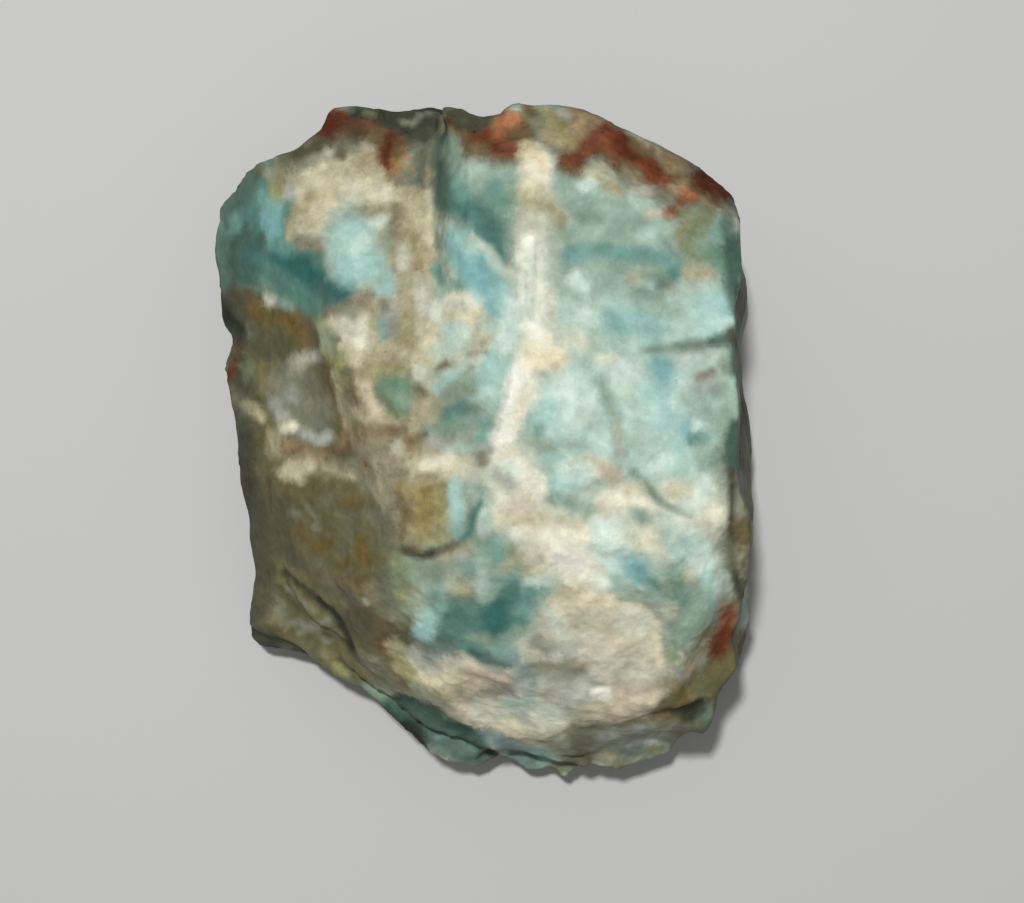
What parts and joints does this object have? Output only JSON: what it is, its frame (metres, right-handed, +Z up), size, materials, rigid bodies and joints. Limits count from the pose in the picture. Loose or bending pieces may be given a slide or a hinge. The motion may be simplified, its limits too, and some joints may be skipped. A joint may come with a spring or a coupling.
{
  "type": "raw larimar stone",
  "caption": "Rough broken piece of larimar with blue-green, cream and rust-brown patches, stepped fracture faces and a flat face to rest on.",
  "frame": {"origin": "middle of the flat resting face, at the centre of the stone's footprint box", "axes": "+Z up from the resting face, +Y along the stone's length towards the rust-crusted end, +X across its width towards the high side with the crack"},
  "size_m": [0.0492, 0.0612, 0.0295],
  "materials": {
    "larimar": "satin"
  },
  "bodies": {
    "root": {"larimar": "larimar"}
  },
  "joints": []
}
